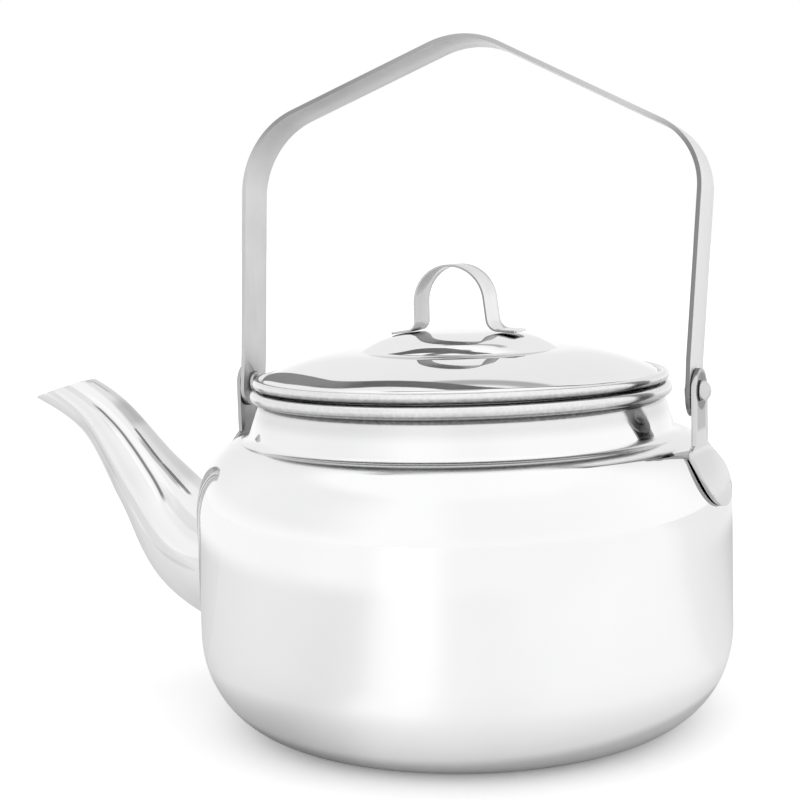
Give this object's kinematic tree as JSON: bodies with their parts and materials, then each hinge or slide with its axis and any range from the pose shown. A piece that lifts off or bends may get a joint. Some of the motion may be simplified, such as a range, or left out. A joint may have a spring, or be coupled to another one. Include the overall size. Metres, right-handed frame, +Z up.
{
  "type": "camping coffee pot",
  "caption": "Squat polished steel coffee pot with a curved spout, a loose domed lid with a strap handle, and a tall strap bail that swings on riveted ears.",
  "frame": {"origin": "centre of the flat base, on the surface that the pot stands on", "axes": "+Z up, the spout points along -X, and the bail swings about X"},
  "size_m": [0.2225, 0.15, 0.1921],
  "materials": {
    "pot_steel": "polished",
    "spout_steel": "polished",
    "lid_steel": "polished",
    "collar_steel": "satin",
    "lid_handle_steel": "satin",
    "ear_steel": "satin",
    "rivet_steel": "satin",
    "bail_steel": "satin"
  },
  "bodies": {
    "pot": {"pot_body": "pot_steel", "spout": "spout_steel", "ear_front": "ear_steel", "ear_rear": "ear_steel", "rivet_front": "rivet_steel", "rivet_rear": "rivet_steel"},
    "bail": {"bail": "bail_steel"},
    "lid": {"lid": "lid_steel", "lid_collar": "collar_steel", "lid_handle": "lid_handle_steel"}
  },
  "joints": [
    {"name": "bail_swing", "type": "hinge", "parent": "pot", "child": "bail", "pos_m": [0, 0, 0.0939], "axis": [1, 0, 0], "range_deg": [-109, 125]},
    {"name": "lid_lift", "type": "slide", "parent": "pot", "child": "lid", "axis": [0, 0, 1], "range_m": [0, 0.05]}
  ]
}
